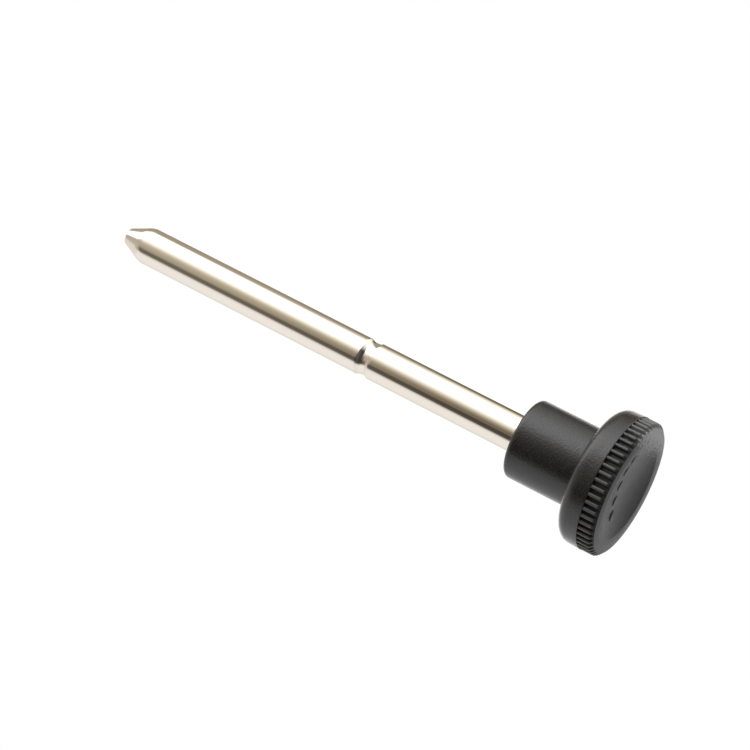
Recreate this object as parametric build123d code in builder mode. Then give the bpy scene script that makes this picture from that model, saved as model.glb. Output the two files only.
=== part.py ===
from build123d import *
from math import radians, tan
import os

# Quick release pin: a turned steel shaft with a detent groove, moulded into a ribbed thumb knob.
# It stands on the knob's face: z = 0 is that face, the axis is Z, and the tip points up.
# Lengths are in millimetres and angles in degrees.

# Shaft
shaft_diameter = 9.525
shaft_exposed = 114.3
tip_diameter = 4.4
tip_half_angle = 25.0
tip_blend_radius = 6.0
tip_edge_chamfer = 0.3

# Detent groove: an arc of groove_radius, its middle at groove_from_collar above the knob's collar
groove_from_collar = 43.0
groove_radius = 3.45
groove_depth = 0.42

# Hidden end of the shaft, held by the moulding
face_wall = 3.7
anchor_groove_width = 3.0
anchor_groove_depth = 0.8
anchor_groove_from_end = 6.0

# Knob collar
collar_diameter = 20.0
collar_length = 18.1
collar_edge_radius = 1.2

# Knob head, measured over its ribs
head_diameter = 34.0
head_thickness = 10.45
head_back_fall = 0.4
head_back_radius = 3.0

# Plain band: a step proud of the ribs at its front, and drawn in towards the head's back
band_step = 0.1
band_draft = 0.25

# Ribs: flutes cut from the face up to the plain band; each rib's end is bevelled down to the face
rib_count = 60
rib_zone_height = 4.1
rib_end_height = 0.8
rib_end_width = 1.0
flute_width = 1.02
flute_side_angle = 4.0
flute_root_margin = 0.12

# Face: a flat foot ring round a shallow spherical dish, with a slight fall outside the ring
face_edge_rise = 0.15
face_fall_width = 2.0
foot_ring_width = 1.6
dish_depth = 1.3

os.makedirs("parts", exist_ok=True)

# Sizes that follow from the ones above
shaft_radius = shaft_diameter / 2
knob_height = collar_length + head_thickness
shaft_bottom = dish_depth + face_wall
tip_z = knob_height + shaft_exposed
tip_radius = tip_diameter / 2
cone_length = (shaft_radius - tip_radius) / tan(radians(tip_half_angle))
groove_z = knob_height + groove_from_collar
anchor_groove_z = shaft_bottom + anchor_groove_from_end
rib_radius = head_diameter / 2
band_front_radius = rib_radius + band_step
band_back_radius = band_front_radius - band_draft
face_radius = rib_radius - rib_end_width
foot_ring_radius = face_radius - face_fall_width
dish_radius = foot_ring_radius - foot_ring_width
flute_root = face_radius + flute_root_margin
dish_sphere = (dish_radius**2 + dish_depth**2) / (2 * dish_depth)


def corner(sketch, x, y):
    """The sketch's vertex nearest to a point of its plane."""
    return sketch.vertices().sort_by_distance((x, y))[0]


# Shaft: half section turned about the axis
with BuildPart() as shaft:
    with BuildSketch(Plane.XZ) as shaft_section:
        with BuildLine():
            Polyline(
                (0, shaft_bottom),
                (shaft_radius, shaft_bottom),
                (shaft_radius, tip_z - cone_length),
                (tip_radius, tip_z),
                (0, tip_z),
                close=True,
            )
        make_face()
        fillet(corner(shaft_section, shaft_radius, tip_z - cone_length), tip_blend_radius)
        chamfer(corner(shaft_section, tip_radius, tip_z), tip_edge_chamfer)
        with Locations((shaft_radius, anchor_groove_z)):
            Rectangle(2 * anchor_groove_depth, anchor_groove_width, mode=Mode.SUBTRACT)
        with Locations((shaft_radius - groove_depth + groove_radius, groove_z)):
            Circle(groove_radius, mode=Mode.SUBTRACT)
    revolve(axis=Axis.Z)
shaft.part.label = "shaft"

# One flute's section, its root at the origin: it widens to its mouth
flute_depth = rib_radius - flute_root
mouth_half = flute_width / 2
root_half = mouth_half - flute_depth * tan(radians(flute_side_angle))
with BuildSketch() as flute:
    with BuildLine():
        half_outline = Polyline(
            (0, 0),
            (0, root_half),
            (flute_depth, mouth_half),
            (flute_depth + band_step, mouth_half),
            (flute_depth + band_step, 0),
        )
        mirror(half_outline, about=Plane.XZ)
    make_face()

# Knob: half section turned about the axis, fluted, dished, and moulded round the shaft
with BuildPart() as knob:
    with BuildSketch(Plane.XZ) as knob_section:
        with BuildLine():
            Polyline(
                (0, 0),
                (0, knob_height),
                (collar_diameter / 2, knob_height),
                (collar_diameter / 2, head_thickness),
                (band_back_radius, head_thickness - head_back_fall),
                (band_front_radius, rib_zone_height),
                (rib_radius, rib_zone_height),
                (rib_radius, face_edge_rise + rib_end_height),
                (face_radius, face_edge_rise),
                (foot_ring_radius, 0),
                close=True,
            )
        make_face()
        fillet(corner(knob_section, collar_diameter / 2, knob_height), collar_edge_radius)
        fillet(corner(knob_section, band_back_radius, head_thickness - head_back_fall), head_back_radius)
    revolve(axis=Axis.Z)

    with BuildSketch() as flutes_section:
        with PolarLocations(flute_root, rib_count):
            add(flute.sketch)
    extrude(amount=rib_zone_height, mode=Mode.SUBTRACT)

    # The dish is a cap of a large sphere. The sphere lies on its side, its poles clear of the cap
    with Locations(Location((0, 0, dish_depth - dish_sphere), (90, 0, 0))):
        Sphere(dish_sphere, mode=Mode.SUBTRACT)

    add(shaft.part, mode=Mode.SUBTRACT)
knob.part.label = "knob"

export_step(shaft.part, "parts/shaft.step")
export_step(knob.part, "parts/knob.step")
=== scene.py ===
"""Quick release pin: a polished steel shaft with a detent groove, moulded into a black ribbed knob.

The pin stands on the knob's face. z is its axis, from the knob's face (0) to the tip, and -y is
the side that the photograph is taken from. Lengths below are in millimetres until they go into a
mesh, which is in metres.

Both pieces are one formula. An outline (r, z) runs from the axis at one end, over the outside, to
the axis at the other end, and every corner with a radius is a circular arc tangent to its two
sides. Turned about the axis it gives

    point(k, t) = (R cos t, R sin t, Z),  R = r(k), Z = z(k)

for row k of the outline and angle t. The shaft uses it as it is. The knob changes it twice:

    R = min(r(k), rib(t))         in the rib zone, where rib(t) is the cross-section of the ribs
    Z = z(k) - sum of dot(d)      on the dish, for raised oval dots, where d is the distance to a
                                  dot's centre as a share of its half width in that direction, and
    dot(d) = height * sqrt(1 - d^3), where d is under 1
"""

from math import acos, atan2, cos, pi, radians, sin, tan

import bpy
import numpy as np
from mathutils import Matrix, Vector


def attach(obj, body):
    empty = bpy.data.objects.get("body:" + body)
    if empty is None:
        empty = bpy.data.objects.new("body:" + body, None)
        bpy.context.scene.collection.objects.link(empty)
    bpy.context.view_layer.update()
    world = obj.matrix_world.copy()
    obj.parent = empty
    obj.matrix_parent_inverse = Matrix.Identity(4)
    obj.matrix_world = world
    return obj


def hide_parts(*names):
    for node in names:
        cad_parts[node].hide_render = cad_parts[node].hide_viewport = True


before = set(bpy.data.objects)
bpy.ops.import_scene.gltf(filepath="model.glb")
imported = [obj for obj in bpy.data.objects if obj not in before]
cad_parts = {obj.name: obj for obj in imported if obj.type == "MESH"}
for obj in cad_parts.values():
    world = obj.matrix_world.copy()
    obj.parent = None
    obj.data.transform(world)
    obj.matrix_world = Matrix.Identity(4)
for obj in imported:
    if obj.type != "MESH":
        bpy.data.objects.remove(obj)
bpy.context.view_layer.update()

MM = 0.001
# An edge that turns by more than this is shaded sharp
SHARP_TURN = radians(34)

# Shaft
SHAFT_R = 9.525 / 2
SHAFT_BOTTOM, SHAFT_END_EDGE = 5.0, 0.3
SHAFT_STEPS = 256
TIP_Z, TIP_R, TIP_HALF_ANGLE = 142.85, 2.2, radians(25)
CONE_LENGTH = (SHAFT_R - TIP_R) / tan(TIP_HALF_ANGLE)
TIP_BLEND, TIP_EDGE = 6.0, 0.35
ANCHOR_Z, ANCHOR_WIDTH, ANCHOR_DEPTH = 11.0, 3.0, 0.8
GROOVE_Z, GROOVE_R, GROOVE_DEPTH, GROOVE_ROWS = 71.55, 3.45, 0.42, 21
# The groove's softened edge: how wide it is, and how far its middle lies inwards, and back along
# the shaft, from where a sharp edge would be
GROOVE_EDGE, GROOVE_EDGE_IN, GROOVE_EDGE_BACK = 0.12, 0.015, 0.02
# Rows on the straight shaft: one inside the collar, two beside each edge of the groove, counted
# from that edge, and the tip's first, counted from the groove's middle
COLLAR_ROW, EDGE_FAR_ROW, EDGE_NEAR_ROW, TIP_FIRST_ROW = 20.0, 4, 0.5, 6

# Knob
COLLAR_R, COLLAR_TOP, COLLAR_EDGE, COLLAR_ROOT = 10.0, 28.55, 1.2, 0.45
BORE_CLEAR = 0.03
HEAD_BACK, HEAD_SIDE, BACK_EDGE = 10.45, 10.05, 3.0
BAND_FRONT_R, BAND_BACK_R = 17.1, 16.85
BAND_EDGE = 0.06
RIB_R, RIB_TOP, RIB_END = 17.0, 4.1, 0.95
RIB_COUNT = 56
FLUTE_HALF, FLUTE_ROOT_HALF, FLUTE_ROOT_R, FLUTE_ROOT_EDGE = 0.51, 0.45, 16.12, 0.06
RIB_EDGE, RIB_END_EDGE = 0.38, 0.25
FACE_R, FACE_RISE, FACE_EDGE = 16.0, 0.15, 0.15
# The radius from which the ribs' bevelled ends take the ribs' plastic
RIB_SLOT_R = FACE_R - 0.05
FOOT_R, FOOT_BLEND = 14.0, 3.0
DISH_R, DISH_DEPTH, DISH_EDGE = 12.4, 1.3, 0.3
# Rings of points on the dish: three round its middle, then close together where the dots lie
DISH_MIDDLE, DISH_START, DISH_RINGS = (0.5, 1.5, 2.6), 3.4, 54
# Five raised dots in a bowed row, from the near rim on the +x side across to the -x side. None
# comes nearer than DOT_FLOOR to the plane that the knob stands on
DOT_HALF_X, DOT_HALF_Y, DOT_HEIGHT, DOT_FLOOR = 1.38, 1.5, 0.3, 0.02
DOTS = ((6.7, -8.0), (3.61, -8.9), (0.05, -6.40), (-3.45, -4.18), (-6.88, -1.35))


def rounded(corners, support=0.25):
    """The outline through (r, z, radius, steps) corners. A radius turns its corner into an arc of
    that many steps, with one more point a little way along each side to keep the sides straight."""
    points = []
    last = len(corners) - 1
    for i, (r, z, radius, steps) in enumerate(corners):
        here = np.array((r, z), float)
        if radius == 0 or i in (0, last):
            points.append(here)
            continue
        back = np.array(corners[i - 1][:2], float) - here
        ahead = np.array(corners[i + 1][:2], float) - here
        back_length, ahead_length = np.linalg.norm(back), np.linalg.norm(ahead)
        back, ahead = back / back_length, ahead / ahead_length
        half = acos(np.clip(back @ ahead, -1, 1)) / 2
        reach = radius / tan(half)
        middle = back + ahead
        centre = here + middle / np.linalg.norm(middle) * radius / sin(half)
        start, end = here + back * reach - centre, here + ahead * reach - centre
        first = atan2(start[1], start[0])
        turn = atan2(start[0] * end[1] - start[1] * end[0], start @ end)
        if back_length > reach + 2 * support:
            points.append(here + back * (reach + support))
        for step in range(steps + 1):
            angle = first + turn * step / steps
            points.append(centre + radius * np.array((cos(angle), sin(angle))))
        if ahead_length > reach + 2 * support:
            points.append(here + ahead * (reach + support))
    return np.array(points)


def turned_mesh(name, x, y, z, low_pole, high_pole):
    """A closed mesh from rows of a turned outline, with a point on the axis at each end."""
    rows, around = x.shape
    grid = np.stack((x, y, z), axis=-1).reshape(-1, 3)
    points = np.vstack((grid, ((0, 0, low_pole),), ((0, 0, high_pole),))) * MM
    index = np.arange(rows * around).reshape(rows, around)
    after = np.roll(index, -1, axis=1)
    quads = np.stack((index[:-1], after[:-1], after[1:], index[1:]), axis=-1).reshape(-1, 4)
    low = np.full(around, rows * around)
    bottom = np.stack((low, after[0], index[0]), axis=-1)
    top = np.stack((low + 1, index[-1], after[-1]), axis=-1)
    mesh = bpy.data.meshes.new(name)
    mesh.from_pydata(points.tolist(), [], bottom.tolist() + quads.tolist() + top.tolist())
    mesh.shade_smooth()
    mesh.set_sharp_from_angle(angle=SHARP_TURN)
    piece = bpy.data.objects.new(name, mesh)
    bpy.context.collection.objects.link(piece)
    return piece


# Shaft
def shaft_outline():
    """Half section of the shaft: hidden end with its anchoring groove, detent groove, tip."""
    groove_half = (GROOVE_R**2 - (GROOVE_R - GROOVE_DEPTH) ** 2) ** 0.5
    anchor_low, anchor_high = ANCHOR_Z - ANCHOR_WIDTH / 2, ANCHOR_Z + ANCHOR_WIDTH / 2
    lower = rounded(
        [
            (0, SHAFT_BOTTOM, 0, 0),
            (SHAFT_R, SHAFT_BOTTOM, SHAFT_END_EDGE, 3),
            (SHAFT_R, anchor_low, 0, 0),
            (SHAFT_R - ANCHOR_DEPTH, anchor_low, 0, 0),
            (SHAFT_R - ANCHOR_DEPTH, anchor_high, 0, 0),
            (SHAFT_R, anchor_high, 0, 0),
            (SHAFT_R, COLLAR_ROW, 0, 0),
        ]
    )
    opening = np.arcsin(groove_half / GROOVE_R)
    inset = GROOVE_EDGE / GROOVE_R
    arc = np.linspace(-opening + inset, opening - inset, GROOVE_ROWS)
    centre_r = SHAFT_R - GROOVE_DEPTH + GROOVE_R
    arc_r = centre_r - GROOVE_R * np.cos(arc)
    arc_z = GROOVE_Z + GROOVE_R * np.sin(arc)
    groove = np.stack((arc_r, arc_z), axis=-1)
    edge_z = GROOVE_Z - groove_half
    edge_low = np.array(
        (
            (SHAFT_R, edge_z - EDGE_FAR_ROW),
            (SHAFT_R, edge_z - EDGE_NEAR_ROW),
            (SHAFT_R, edge_z - GROOVE_EDGE),
            (SHAFT_R - GROOVE_EDGE_IN, edge_z - GROOVE_EDGE_BACK),
        )
    )
    edge_high = edge_low[::-1] * (1, -1) + (0, 2 * GROOVE_Z)
    tip = rounded(
        [
            (SHAFT_R, GROOVE_Z + TIP_FIRST_ROW, 0, 0),
            (SHAFT_R, TIP_Z - CONE_LENGTH, TIP_BLEND, 10),
            (TIP_R, TIP_Z, TIP_EDGE, 6),
            (0, TIP_Z, 0, 0),
        ]
    )
    return np.vstack((lower, edge_low, groove, edge_high, tip))


def make_shaft():
    """The shaft's outline turned about the axis."""
    outline = shaft_outline()
    angles = np.linspace(0, 2 * pi, SHAFT_STEPS, endpoint=False)
    inner = outline[1:-1]
    x = inner[:, :1] * np.cos(angles)
    y = inner[:, :1] * np.sin(angles)
    z = np.repeat(inner[:, 1:], SHAFT_STEPS, axis=1)
    return turned_mesh("pin_shaft", x, y, z, outline[0, 1], outline[-1, 1])


# Knob
def rib_section():
    """Angles round the knob, and the ribs' outer radius at each: flute floor, wall, rounded edge
    and land, mirrored about the middle of each flute."""
    half_pitch = pi * RIB_R / RIB_COUNT
    turn = np.radians((0, 30, 60, 90))
    edge_across = FLUTE_HALF + RIB_EDGE * (1 - np.cos(turn))
    edge_radius = RIB_R - RIB_EDGE + RIB_EDGE * np.sin(turn)
    across = np.concatenate(((FLUTE_ROOT_HALF - FLUTE_ROOT_EDGE, FLUTE_ROOT_HALF), edge_across))
    radius = np.concatenate(((FLUTE_ROOT_R, FLUTE_ROOT_R + FLUTE_ROOT_EDGE), edge_radius))
    across = np.concatenate((-across[::-1], (0.0,), across, (half_pitch,))) / RIB_R
    radius = np.concatenate((radius[::-1], (FLUTE_ROOT_R,), radius, (RIB_R,)))
    centres = np.arange(RIB_COUNT) * 2 * pi / RIB_COUNT
    return (centres[:, None] + across).ravel(), np.tile(radius, RIB_COUNT)


def make_knob():
    """The knob's outline turned about the axis, ribbed from the face's edge up to the band, with
    dots raised from its dish. The ribs take the second material slot and the flutes the third."""
    dish_sphere = (DISH_R**2 + DISH_DEPTH**2) / (2 * DISH_DEPTH)
    dish_rings = np.linspace(DISH_START, DISH_R - DISH_EDGE, DISH_RINGS)
    dish_r = np.concatenate((DISH_MIDDLE, dish_rings))
    dish_z = DISH_DEPTH - dish_sphere + np.sqrt(dish_sphere**2 - dish_r**2)
    dish = np.stack((dish_r, dish_z), axis=-1)
    face = rounded(
        [
            (*dish[-1], 0, 0),
            (DISH_R, 0, DISH_EDGE, 3),
            (FOOT_R, 0, FOOT_BLEND, 3),
            (FACE_R, FACE_RISE, FACE_EDGE, 3),
            (RIB_R, RIB_END, RIB_END_EDGE, 3),
            (RIB_R, RIB_TOP, 0, 0),
        ],
        support=0.12,
    )[1:]
    rest = rounded(
        [
            (RIB_R, RIB_TOP, 0, 0),
            (BAND_FRONT_R, RIB_TOP, BAND_EDGE, 2),
            (BAND_BACK_R, HEAD_SIDE, BACK_EDGE, 12),
            (COLLAR_R, HEAD_BACK, COLLAR_ROOT, 5),
            (COLLAR_R, COLLAR_TOP, COLLAR_EDGE, 8),
            (SHAFT_R + BORE_CLEAR, COLLAR_TOP, 0, 0),
            (SHAFT_R + BORE_CLEAR, SHAFT_BOTTOM - BORE_CLEAR, 0, 0),
            (0, SHAFT_BOTTOM - BORE_CLEAR, 0, 0),
        ],
        support=0.3,
    )[1:-1]
    outline = np.vstack((dish, face, rest))
    angles, rib = rib_section()
    around = len(angles)
    r = np.repeat(outline[:, :1], around, axis=1)
    z = np.repeat(outline[:, 1:], around, axis=1)
    ribbed = slice(len(dish), len(dish) + len(face))
    r[ribbed] = np.minimum(r[ribbed], rib)
    x, y = r * np.cos(angles), r * np.sin(angles)
    dished = slice(0, len(dish))
    for dot_x, dot_y in DOTS:
        away = np.hypot((x[dished] - dot_x) / DOT_HALF_X, (y[dished] - dot_y) / DOT_HALF_Y)
        z[dished] -= DOT_HEIGHT * np.sqrt(np.clip(1 - away**3, 0, None))
    z[dished] = np.maximum(z[dished], np.minimum(DOT_FLOOR, outline[dished, 1:]))
    knob = turned_mesh("knob_moulding", x, y, z, DISH_DEPTH, SHAFT_BOTTOM - BORE_CLEAR)
    bevel_row = len(dish) + int(np.argmax(outline[ribbed, 0] >= RIB_SLOT_R))
    in_flute = np.maximum(rib, np.roll(rib, -1)) < RIB_R - 0.5 * RIB_EDGE
    slots = np.zeros(len(knob.data.polygons), dtype=np.int32)
    ribbed_rows = len(dish) + len(face) - 1 - bevel_row
    start = around * (1 + bevel_row)
    slots[start : start + around * ribbed_rows] = np.tile(np.where(in_flute, 2, 1), ribbed_rows)
    knob.data.polygons.foreach_set("material_index", slots)
    return knob


# Materials
# The paler tone of the painted light, and how much rougher it makes the plastic
PAINTED_LIGHT_TONE, PAINTED_LIGHT_ROUGHER = "#d0d0d0", 0.15
# Where it begins and where it is full: the radius of the ribs' lands, x towards the +x side,
# that and noise added up, the radius inside the ribs and the height below the band
LAND_START, LAND_FULL = 16.6, 16.95
SIDE_START, SIDE_FULL = 6, 14.5
SIDE_LIGHT_START, SIDE_LIGHT_FULL = 0.8, 1.5
FACE_START, FACE_FULL = 16.2, 15.9
BELOW_START, BELOW_FULL = 4.3, 3.9
# Painted sheen on the lands, and the share of the side's painted light that lies on the ribs
LAND_SHEEN, RIB_SIDE_LIGHT = 0.085, 0.2


def linear(hex_colour):
    """Linear RGBA of a #rrggbb colour as the eye sees it."""
    parts = [int(hex_colour[i : i + 2], 16) / 255 for i in (1, 3, 5)]
    return (*[c / 12.92 if c <= 0.04045 else ((c + 0.055) / 1.055) ** 2.4 for c in parts], 1.0)


def node(tree, kind, inputs=None, **settings):
    """Adds a shader node, sets its properties, and links or fills its inputs."""
    made = tree.nodes.new("ShaderNode" + kind)
    for key, value in settings.items():
        setattr(made, key, value)
    for key, value in (inputs or {}).items():
        if isinstance(value, bpy.types.NodeSocket):
            tree.links.new(value, made.inputs[key])
        else:
            made.inputs[key].default_value = value
    return made


def material(name):
    """A new material with an empty node tree."""
    made = bpy.data.materials.new(name)
    made.use_nodes = True
    made.node_tree.nodes.clear()
    return made, made.node_tree


def per_mm(tree, across, along=None):
    """Object coordinates counted in pattern repeats: so many per millimetre across and along z."""
    coords = node(tree, "TexCoord").outputs["Object"]
    along = across if along is None else along
    scale = (across / MM, across / MM, along / MM)
    return node(tree, "Mapping", {"Vector": coords, "Scale": scale}).outputs["Vector"]


def steel():
    """Ground and polished stainless steel: a clean mirror with faint turning rings and a slightly
    uneven polish, a touch warmer than chrome."""
    made, tree = material("stainless_steel_polished")
    # Faint turning rings round the shaft, close together along it
    rings = node(tree, "TexNoise", {"Vector": per_mm(tree, 0.25, 9.0), "Scale": 1.0, "Detail": 2.0})
    # Slow clouds in the polish, a few millimetres across
    clouds = node(tree, "TexNoise", {"Vector": per_mm(tree, 0.3), "Scale": 1.0, "Detail": 4.0})
    rough = node(tree, "MapRange", {"Value": clouds.outputs["Fac"], "To Min": 0.07, "To Max": 0.13})
    bump = node(
        tree, "Bump", {"Height": rings.outputs["Fac"], "Strength": 0.02, "Distance": 0.05 * MM}
    )
    shader = node(
        tree,
        "BsdfPrincipled",
        {
            "Base Color": linear("#e6dfd5"),
            "Metallic": 1.0,
            "Roughness": rough.outputs["Result"],
            "Normal": bump.outputs["Normal"],
        },
    )
    node(tree, "OutputMaterial", {"Surface": shader.outputs["BSDF"]})
    return made


def painted_light_share(tree):
    """How far the knob below its band is painted paler, from 0 to 1: a little on the ribs' lands,
    a painted sheen, and in patches towards +x, painted light where the soft box falls, thickest
    on the face."""
    place = node(tree, "SeparateXYZ", {0: node(tree, "TexCoord").outputs["Object"]}).outputs
    level = node(tree, "CombineXYZ", {"X": place["X"], "Y": place["Y"]})
    out = node(tree, "VectorMath", {0: level.outputs[0]}, operation="LENGTH").outputs["Value"]
    # Painted sheen: the ribs' lands a little paler
    land = node(
        tree,
        "MapRange",
        {
            "Value": out,
            "From Min": LAND_START * MM,
            "From Max": LAND_FULL * MM,
            "To Max": LAND_SHEEN,
        },
    )
    # Painted light thickens towards +x, and noise just under 1 mm across breaks up its border
    side = node(
        tree,
        "MapRange",
        {"Value": place["X"], "From Min": SIDE_START * MM, "From Max": SIDE_FULL * MM},
    )
    noise = node(tree, "TexNoise", {"Vector": per_mm(tree, 1.2), "Scale": 1.0, "Detail": 3.0})
    side_and_noise = node(
        tree, "Math", {0: side.outputs["Result"], 1: noise.outputs["Fac"]}, operation="ADD"
    )
    patches = node(
        tree,
        "MapRange",
        {"Value": side_and_noise.outputs[0], "From Min": SIDE_LIGHT_START, "From Max": SIDE_LIGHT_FULL},
        interpolation_type="SMOOTHSTEP",
    )
    on_face = node(
        tree,
        "MapRange",
        {
            "Value": out,
            "From Min": FACE_START * MM,
            "From Max": FACE_FULL * MM,
            "To Min": RIB_SIDE_LIGHT,
        },
    )
    # Painted light on the +x side: full on the face, a share of it on the ribs
    side_light = node(
        tree,
        "Math",
        {0: patches.outputs["Result"], 1: on_face.outputs["Result"]},
        operation="MULTIPLY",
    )
    both = node(tree, "Math", {0: land.outputs["Result"], 1: side_light.outputs[0]}, operation="MAXIMUM")
    below = node(
        tree,
        "MapRange",
        {"Value": place["Z"], "From Min": BELOW_START * MM, "From Max": BELOW_FULL * MM},
    )
    # Painted sheen and painted light together, only below the band
    painted_light = node(
        tree, "Math", {0: both.outputs[0], 1: below.outputs["Result"]}, operation="MULTIPLY"
    )
    return painted_light.outputs[0]


def plastic(name, grain, low_rough, high_rough, dark, pale):
    """Black ABS as it leaves the mould. grain is how strongly the spark-eroded texture stands out,
    and each grain is a little darker or paler than the next."""
    made, tree = material(name)
    # Grains about 0.4 mm across, coarser than the real ones so that they show in the picture
    grains = node(tree, "TexNoise", {"Vector": per_mm(tree, 2.4), "Scale": 1.0, "Detail": 3.0})
    bump = node(
        tree, "Bump", {"Height": grains.outputs["Fac"], "Strength": grain, "Distance": 0.1 * MM}
    )
    # Slow clouds in the gloss, a few millimetres across
    clouds = node(tree, "TexNoise", {"Vector": per_mm(tree, 0.4), "Scale": 1.0, "Detail": 3.0})
    rough = node(
        tree,
        "MapRange",
        {"Value": clouds.outputs["Fac"], "To Min": low_rough, "To Max": high_rough},
    )
    # The middle third of the noise is spread over both tones
    spread = node(
        tree, "MapRange", {"Value": grains.outputs["Fac"], "From Min": 0.35, "From Max": 0.65}
    )
    tone = node(
        tree,
        "Mix",
        {"Factor": spread.outputs["Result"], "A": linear(dark), "B": linear(pale)},
        data_type="RGBA",
    )
    # Where light is painted, the plastic is paler and more matt
    painted_light = painted_light_share(tree)
    shown = node(
        tree,
        "Mix",
        {"Factor": painted_light, "A": tone.outputs["Result"], "B": linear(PAINTED_LIGHT_TONE)},
        data_type="RGBA",
    )
    matt = node(
        tree,
        "Math",
        {0: painted_light, 1: PAINTED_LIGHT_ROUGHER, 2: rough.outputs["Result"]},
        operation="MULTIPLY_ADD",
    )
    shader = node(
        tree,
        "BsdfPrincipled",
        {
            "Base Color": shown.outputs["Result"],
            "Roughness": matt.outputs[0],
            "IOR": 1.54,
            "Normal": bump.outputs["Normal"],
        },
    )
    node(tree, "OutputMaterial", {"Surface": shader.outputs["BSDF"]})
    return made


def floor_material():
    """Pale matt floor, seen from above only."""
    made, tree = material("floor_paper")
    paper = node(tree, "BsdfDiffuse", {"Color": linear("#f4f3f1")})
    clear = node(tree, "BsdfTransparent")
    back = node(tree, "NewGeometry").outputs["Backfacing"]
    sided = node(tree, "MixShader", {0: back, 1: paper.outputs[0], 2: clear.outputs[0]})
    node(tree, "OutputMaterial", {"Surface": sided.outputs[0]})
    return made


shaft = make_shaft()
knob = make_knob()

shaft.data.materials.append(steel())
# Collar, band, face and dish: the grain breaks every highlight into a soft sparkle
knob.data.materials.append(plastic("abs_spark_grain", 0.65, 0.19, 0.27, "#131314", "#272728"))
# Ribs: the grain is rubbed down, which leaves an even, satin black
knob.data.materials.append(plastic("abs_rubbed_ribs", 0.15, 0.26, 0.34, "#1b1b1c", "#232324"))
# Flutes: matt, so they catch little light and stay dark between the ribs
knob.data.materials.append(plastic("abs_matt_flutes", 0.5, 0.6, 0.7, "#19191a", "#212122"))

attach(shaft, "root")
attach(knob, "root")
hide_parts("shaft")
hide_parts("knob")

# Studio. Azimuths are degrees round the pin's axis from the camera's side (-y) towards -x, and a
# stop holds the tone of the studio there. A large soft box stands on the +x side, a dim warm room
# lies behind the camera, ended by a dark flag, and pale walls close the rest, but for a warm flag
# on the far +x side, which gives the shaft its tan edge.

# The strength of a white stop, where 1 is the white that the camera sees behind the pin
STUDIO_PEAK = 3.0
SOFT_BOX, BOX_END, WALL, BACK_WALL = "#ffffff", "#b8b8b6", "#a1a0a0", "#939393"
BACK_LIGHT, EDGE_FLAG, EDGE_GLOW = "#c4c4c4", "#494339", "#8d897e"
# The soft box's light dies away towards the camera
BOX_FALL = ((-24, "#b4b3ae"), (-15, "#a3a19a"), (-7, "#8c877d"))
LOW_STUDIO = (
    (-180, BACK_LIGHT),
    (-158, BACK_LIGHT),
    (-144, EDGE_FLAG),
    (-122, EDGE_FLAG),
    (-113, EDGE_GLOW),
    (-102, "#a9a7a0"),
    (-92, BOX_END),
    (-60, SOFT_BOX),
    (-32, SOFT_BOX),
    *BOX_FALL,
    (1, "#706a5e"),
    (14, "#4a4339"),
    (28, "#463f36"),
    (32, "#262422"),
    (52, "#312e29"),
    (63, "#9a9998"),
    (75, WALL),
    (112, WALL),
    (140, BACK_WALL),
    (180, BACK_LIGHT),
)
HIGH_STUDIO = (
    (-180, BACK_LIGHT),
    (-170, BACK_LIGHT),
    (-152, "#655f55"),
    (-104, "#6c665c"),
    (-94, BOX_END),
    (-60, SOFT_BOX),
    (-32, SOFT_BOX),
    *BOX_FALL,
    (1, "#7d776b"),
    (26, "#6c665a"),
    (36, "#45403a"),
    (52, "#48433d"),
    (63, "#9a9998"),
    (75, WALL),
    (112, WALL),
    (140, BACK_WALL),
    (180, BACK_LIGHT),
)
CEILING = (
    (-180, "#7c7a77"),
    (-112, "#6f6a61"),
    (-84, SOFT_BOX),
    (-42, SOFT_BOX),
    (-18, "#8c887f"),
    (0, "#76716a"),
    (62, "#7d7972"),
    (85, "#96948f"),
    (125, "#96948f"),
    (180, "#7c7a77"),
)
HORIZON = (
    (-180, "#777777"),
    (-155, "#606060"),
    (-110, "#b4b4b4"),
    (-60, "#b4b4b4"),
    (-25, "#2a2a2b"),
    (40, "#262627"),
    (58, "#2e2e2e"),
    (70, "#9c9c9c"),
    (112, "#9c9c9c"),
    (150, "#868686"),
    (180, "#777777"),
)
UNDERSIDE = (
    (-180, "#525252"),
    (0, "#4a4a4a"),
    (180, "#525252"),
)
# The rings of the studio above its underside, each with the height (the sine of its elevation)
# from which it takes over from the ring before, and the height at which it alone is left
RINGS = (
    (HORIZON, -0.7, -0.2),
    (LOW_STUDIO, 0.02, 0.2),
    (HIGH_STUDIO, 0.3, 0.42),
    (CEILING, 0.6, 0.85),
)


def ring_tone(tree, share, stops):
    """The tone at an azimuth of one ring, share being the azimuth counted from 0 to 1."""
    ramp = node(tree, "ValToRGB", {"Fac": share})
    made = ramp.color_ramp.elements
    made.remove(made[1])
    made[0].position = 0.0
    made[0].color = linear(stops[0][1])
    for degrees, tone in stops[1:]:
        made.new(degrees / 360 + 0.5).color = linear(tone)
    return ramp.outputs["Color"]


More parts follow.
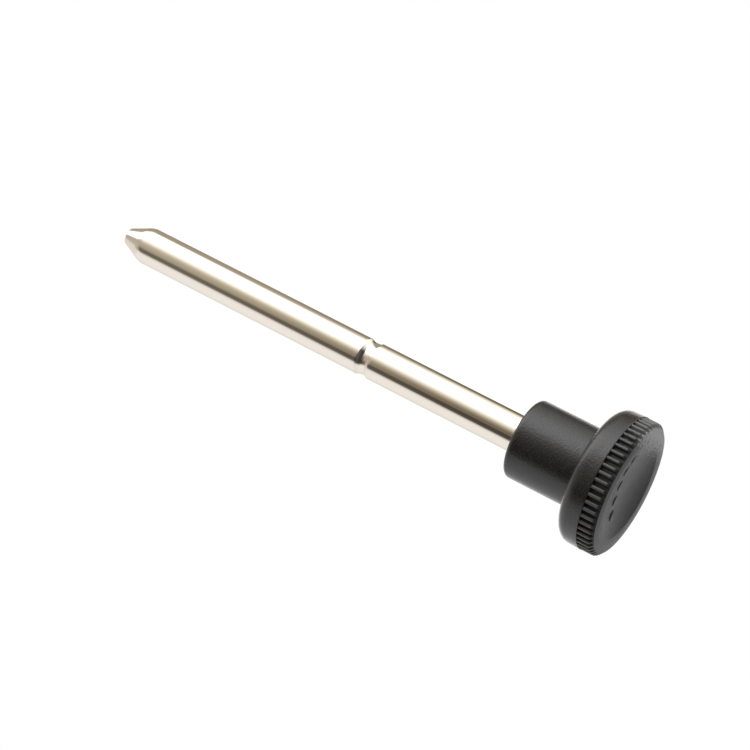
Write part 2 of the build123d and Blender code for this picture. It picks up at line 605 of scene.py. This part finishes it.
def light_studio():
    """The world: the studio for every ray but the camera's own, which see plain white."""
    world = bpy.data.worlds.new("studio")
    bpy.context.scene.world = world
    world.use_nodes = True
    tree = world.node_tree
    tree.nodes.clear()
    toward = node(tree, "SeparateXYZ", {0: node(tree, "TexCoord").outputs["Generated"]})
    left = node(tree, "Math", {0: toward.outputs["X"], 1: -1.0}, operation="MULTIPLY")
    near = node(tree, "Math", {0: toward.outputs["Y"], 1: -1.0}, operation="MULTIPLY")
    angle = node(tree, "Math", {0: left.outputs[0], 1: near.outputs[0]}, operation="ARCTAN2")
    share = node(tree, "MapRange", {"Value": angle.outputs[0], "From Min": -pi, "From Max": pi})
    tone = ring_tone(tree, share.outputs["Result"], UNDERSIDE)
    for stops, start, end in RINGS:
        height = {"Value": toward.outputs["Z"], "From Min": start, "From Max": end}
        above = node(tree, "MapRange", height, interpolation_type="SMOOTHSTEP")
        ring = ring_tone(tree, share.outputs["Result"], stops)
        mixed = node(
            tree, "Mix", {"Factor": above.outputs["Result"], "A": tone, "B": ring}, data_type="RGBA"
        )
        tone = mixed.outputs["Result"]
    lit = node(tree, "Background", {"Color": tone, "Strength": STUDIO_PEAK})
    white = node(tree, "Background", {"Color": (1, 1, 1, 1), "Strength": 1.0})
    camera_ray = node(tree, "LightPath").outputs["Is Camera Ray"]
    both = node(tree, "MixShader", {0: camera_ray, 1: lit.outputs[0], 2: white.outputs[0]})
    node(tree, "OutputWorld", {"Surface": both.outputs[0]})


def lay_floor():
    """A disc just under the knob. It only shows to the camera, and lights nothing."""
    steps, reach, drop = 96, 3.0, -0.0001
    turn = np.linspace(0, 2 * pi, steps, endpoint=False)
    ring = np.stack((reach * np.cos(turn), reach * np.sin(turn), np.full(steps, drop)), axis=-1)
    mesh = bpy.data.meshes.new("floor")
    mesh.from_pydata(ring.tolist(), [], [tuple(range(steps))])
    floor = bpy.data.objects.new("floor", mesh)
    bpy.context.collection.objects.link(floor)
    mesh.materials.append(floor_material())
    floor.visible_diffuse = False
    floor.visible_glossy = False
    floor.visible_transmission = False
    floor.visible_shadow = False


def place_camera():
    """The photograph's camera, solved from the outlines of shaft, collar, head and face."""
    spot = Vector((0.0, -0.659719, -0.176899))
    aim = Vector((-0.002846, 0.0, 0.068706))
    photo_up = radians(28.587)
    focal_pixels, photo_pixels = 2958.041, 750
    ahead = (aim - spot).normalized()
    up = Vector((cos(photo_up), 0, sin(photo_up)))
    right = ahead.cross(up).normalized()
    up = right.cross(ahead)
    turn = Matrix((right, up, -ahead)).transposed().to_4x4()
    data = bpy.data.cameras.new("camera")
    data.sensor_width = 36.0
    data.lens = focal_pixels / photo_pixels * data.sensor_width
    data.clip_start, data.clip_end = 0.01, 20.0
    camera = bpy.data.objects.new("camera", data)
    camera.matrix_world = Matrix.Translation(spot) @ turn
    bpy.context.collection.objects.link(camera)
    bpy.context.scene.camera = camera


light_studio()
lay_floor()
place_camera()
bpy.context.scene.view_settings.view_transform = "Standard"
